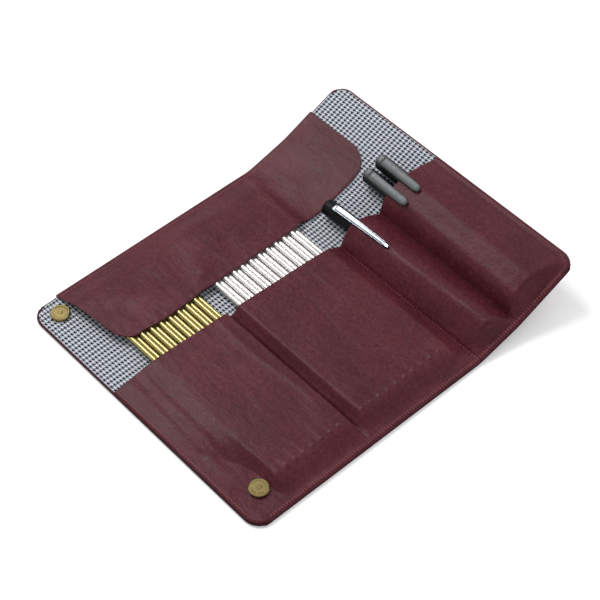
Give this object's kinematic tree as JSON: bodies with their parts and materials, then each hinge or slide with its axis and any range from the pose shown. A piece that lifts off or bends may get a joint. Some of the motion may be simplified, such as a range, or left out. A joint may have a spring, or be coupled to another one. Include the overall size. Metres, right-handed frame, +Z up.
{
  "type": "interchangeable needle set",
  "caption": "Leather tri-fold case lying open, with interchangeable knitting needle tips and pens held in a stitched pocket under a flap.",
  "frame": {"origin": "centre of the middle panel's underside, on the table", "axes": "+X along the open case from the snap end to the pen end, +Y from the pocket's bottom edge to the flap, +Z up"},
  "size_m": [0.2812, 0.23, 0.0413],
  "materials": {
    "burgundy_leather": "soft satin grain",
    "houndstooth": "woven navy-black and white check",
    "gold_metal": "polished gold",
    "silver_metal": "bright nickel",
    "antique_brass": "antique, brushed",
    "black_textured": "fine texture",
    "black_plastic": "satin",
    "grey_plastic": "satin",
    "chrome": "polished",
    "steel": "satin"
  },
  "bodies": {
    "middle_panel": {"cover_middle": "burgundy_leather", "lining_middle": "houndstooth", "pocket_middle": "burgundy_leather"},
    "left_panel": {"cover_left": "burgundy_leather", "lining_left": "houndstooth", "pocket_left": "burgundy_leather", "snap_disc_upper": "antique_brass", "snap_disc_lower": "antique_brass"},
    "spine_panel": {"cover_spine": "burgundy_leather", "lining_spine": "houndstooth", "pocket_spine": "burgundy_leather", "catch_plate_upper": "antique_brass", "catch_plate_lower": "antique_brass"},
    "right_panel": {"cover_right": "burgundy_leather", "lining_right": "houndstooth", "pocket_right": "burgundy_leather"},
    "flap_left_body": {"flap_left": "burgundy_leather"},
    "flap_middle_body": {"flap_middle": "burgundy_leather"},
    "flap_spine_body": {"flap_spine": "burgundy_leather"},
    "flap_right_body": {"flap_right": "burgundy_leather"},
    "gold_tip_pair_1_body": {"gold_tip_pair_1": "gold_metal"},
    "gold_tip_pair_2_body": {"gold_tip_pair_2": "gold_metal"},
    "gold_tip_pair_3_body": {"gold_tip_pair_3": "gold_metal"},
    "gold_tip_pair_4_body": {"gold_tip_pair_4": "gold_metal"},
    "gold_tip_pair_5_body": {"gold_tip_pair_5": "gold_metal"},
    "gold_tip_pair_6_body": {"gold_tip_pair_6": "gold_metal"},
    "gold_tip_pair_7_body": {"gold_tip_pair_7": "gold_metal"},
    "gold_tip_pair_8_body": {"gold_tip_pair_8": "gold_metal"},
    "silver_tip_pair_1_body": {"silver_tip_pair_1": "silver_metal"},
    "silver_tip_pair_2_body": {"silver_tip_pair_2": "silver_metal"},
    "silver_tip_pair_3_body": {"silver_tip_pair_3": "silver_metal"},
    "silver_tip_pair_4_body": {"silver_tip_pair_4": "silver_metal"},
    "silver_tip_pair_5_body": {"silver_tip_pair_5": "silver_metal"},
    "silver_tip_pair_6_body": {"silver_tip_pair_6": "silver_metal"},
    "silver_tip_pair_7_body": {"silver_tip_pair_7": "silver_metal"},
    "silver_tip_pair_8_body": {"silver_tip_pair_8": "silver_metal"},
    "silver_tip_pair_9_body": {"silver_tip_pair_9": "silver_metal"},
    "silver_tip_pair_10_body": {"silver_tip_pair_10": "silver_metal"},
    "pen_body": {"pen_barrel": "black_plastic", "pen_nib": "steel"},
    "pen_cap_body": {"pen_cap": "black_textured", "pen_clip": "chrome"},
    "marker_1_body": {"marker_1_barrel": "black_plastic", "marker_1_nib": "steel"},
    "marker_1_cap_body": {"marker_1_cap": "black_plastic", "marker_1_clip": "grey_plastic"},
    "marker_2_body": {"marker_2_barrel": "black_plastic", "marker_2_nib": "steel"},
    "marker_2_cap_body": {"marker_2_cap": "black_plastic", "marker_2_clip": "grey_plastic"}
  },
  "joints": [
    {"name": "fold_left", "type": "hinge", "parent": "middle_panel", "child": "left_panel", "pos_m": [-0.0485, 0, 0.02065], "axis": [0, 1, 0], "range_deg": [0, 179]},
    {"name": "fold_spine", "type": "hinge", "parent": "middle_panel", "child": "spine_panel", "pos_m": [0.0485, 0, 0.01546], "axis": [0, -1, 0], "range_deg": [0, 165]},
    {"name": "crease_right", "type": "hinge", "parent": "spine_panel", "child": "right_panel", "pos_m": [0.08366, 0, 0.01242], "axis": [0, -1, 0], "range_deg": [-9, 0]},
    {"name": "flap_middle_lift", "type": "hinge", "parent": "middle_panel", "child": "flap_middle_body", "pos_m": [0, 0.1144, 0.0039], "axis": [1, 0, 0], "range_deg": [-170, 0]},
    {"name": "flap_left_lift", "type": "hinge", "parent": "left_panel", "child": "flap_left_body", "pos_m": [-0.0485, 0.1144, 0.0039], "axis": [1, 0, 0], "range_deg": [-170, 0]},
    {"name": "flap_spine_lift", "type": "hinge", "parent": "spine_panel", "child": "flap_spine_body", "pos_m": [0.04827, 0.1144, 0.00387], "axis": [0.9659, 0, 0.2588], "range_deg": [-170, 0]},
    {"name": "flap_right_lift", "type": "hinge", "parent": "right_panel", "child": "flap_right_body", "pos_m": [0.08329, 0.1144, 0.01324], "axis": [0.9135, 0, 0.4067], "range_deg": [-170, 0]},
    {"name": "gold_tip_pair_1_slide", "type": "slide", "parent": "left_panel", "child": "gold_tip_pair_1_body", "axis": [0, 1, 0], "range_m": [0, 0.022]},
    {"name": "gold_tip_pair_2_slide", "type": "slide", "parent": "left_panel", "child": "gold_tip_pair_2_body", "axis": [0, 1, 0], "range_m": [0, 0.022]},
    {"name": "gold_tip_pair_3_slide", "type": "slide", "parent": "left_panel", "child": "gold_tip_pair_3_body", "axis": [0, 1, 0], "range_m": [0, 0.022]},
    {"name": "gold_tip_pair_4_slide", "type": "slide", "parent": "left_panel", "child": "gold_tip_pair_4_body", "axis": [0, 1, 0], "range_m": [0, 0.022]},
    {"name": "gold_tip_pair_5_slide", "type": "slide", "parent": "left_panel", "child": "gold_tip_pair_5_body", "axis": [0, 1, 0], "range_m": [0, 0.022]},
    {"name": "gold_tip_pair_6_slide", "type": "slide", "parent": "left_panel", "child": "gold_tip_pair_6_body", "axis": [0, 1, 0], "range_m": [0, 0.022]},
    {"name": "gold_tip_pair_7_slide", "type": "slide", "parent": "left_panel", "child": "gold_tip_pair_7_body", "axis": [0, 1, 0], "range_m": [0, 0.022]},
    {"name": "gold_tip_pair_8_slide", "type": "slide", "parent": "left_panel", "child": "gold_tip_pair_8_body", "axis": [0, 1, 0], "range_m": [0, 0.022]},
    {"name": "silver_tip_pair_1_slide", "type": "slide", "parent": "middle_panel", "child": "silver_tip_pair_1_body", "axis": [0, 1, 0], "range_m": [0, 0.022]},
    {"name": "silver_tip_pair_2_slide", "type": "slide", "parent": "middle_panel", "child": "silver_tip_pair_2_body", "axis": [0, 1, 0], "range_m": [0, 0.022]},
    {"name": "silver_tip_pair_3_slide", "type": "slide", "parent": "middle_panel", "child": "silver_tip_pair_3_body", "axis": [0, 1, 0], "range_m": [0, 0.022]},
    {"name": "silver_tip_pair_4_slide", "type": "slide", "parent": "middle_panel", "child": "silver_tip_pair_4_body", "axis": [0, 1, 0], "range_m": [0, 0.022]},
    {"name": "silver_tip_pair_5_slide", "type": "slide", "parent": "middle_panel", "child": "silver_tip_pair_5_body", "axis": [0, 1, 0], "range_m": [0, 0.022]},
    {"name": "silver_tip_pair_6_slide", "type": "slide", "parent": "middle_panel", "child": "silver_tip_pair_6_body", "axis": [0, 1, 0], "range_m": [0, 0.022]},
    {"name": "silver_tip_pair_7_slide", "type": "slide", "parent": "middle_panel", "child": "silver_tip_pair_7_body", "axis": [0, 1, 0], "range_m": [0, 0.022]},
    {"name": "silver_tip_pair_8_slide", "type": "slide", "parent": "middle_panel", "child": "silver_tip_pair_8_body", "axis": [0, 1, 0], "range_m": [0, 0.022]},
    {"name": "silver_tip_pair_9_slide", "type": "slide", "parent": "middle_panel", "child": "silver_tip_pair_9_body", "axis": [0, 1, 0], "range_m": [0, 0.022]},
    {"name": "silver_tip_pair_10_slide", "type": "slide", "parent": "middle_panel", "child": "silver_tip_pair_10_body", "axis": [0, 1, 0], "range_m": [0, 0.022]},
    {"name": "pen_slide", "type": "slide", "parent": "spine_panel", "child": "pen_body", "axis": [-0.0337, 0.9994, -0.009], "range_m": [0, 0.1273]},
    {"name": "pen_cap_slide", "type": "slide", "parent": "pen_body", "child": "pen_cap_body", "axis": [-0.0337, 0.9994, -0.009], "range_m": [0, 0.062]},
    {"name": "marker_1_slide", "type": "slide", "parent": "right_panel", "child": "marker_1_body", "axis": [0.0191, 0.9998, 0.0085], "range_m": [0, 0.1253]},
    {"name": "marker_1_cap_slide", "type": "slide", "parent": "marker_1_body", "child": "marker_1_cap_body", "axis": [0.0191, 0.9998, 0.0085], "range_m": [0, 0.055]},
    {"name": "marker_2_slide", "type": "slide", "parent": "right_panel", "child": "marker_2_body", "axis": [0.0191, 0.9998, 0.0085], "range_m": [0, 0.1253]},
    {"name": "marker_2_cap_slide", "type": "slide", "parent": "marker_2_body", "child": "marker_2_cap_body", "axis": [0.0191, 0.9998, 0.0085], "range_m": [0, 0.055]}
  ],
  "couplings": [
    {"joint": "crease_right", "follows": "fold_spine", "ratio": -0.054545},
    {"joint": "flap_left_lift", "follows": "flap_middle_lift", "ratio": 1},
    {"joint": "flap_spine_lift", "follows": "flap_middle_lift", "ratio": 1},
    {"joint": "flap_right_lift", "follows": "flap_middle_lift", "ratio": 1}
  ]
}
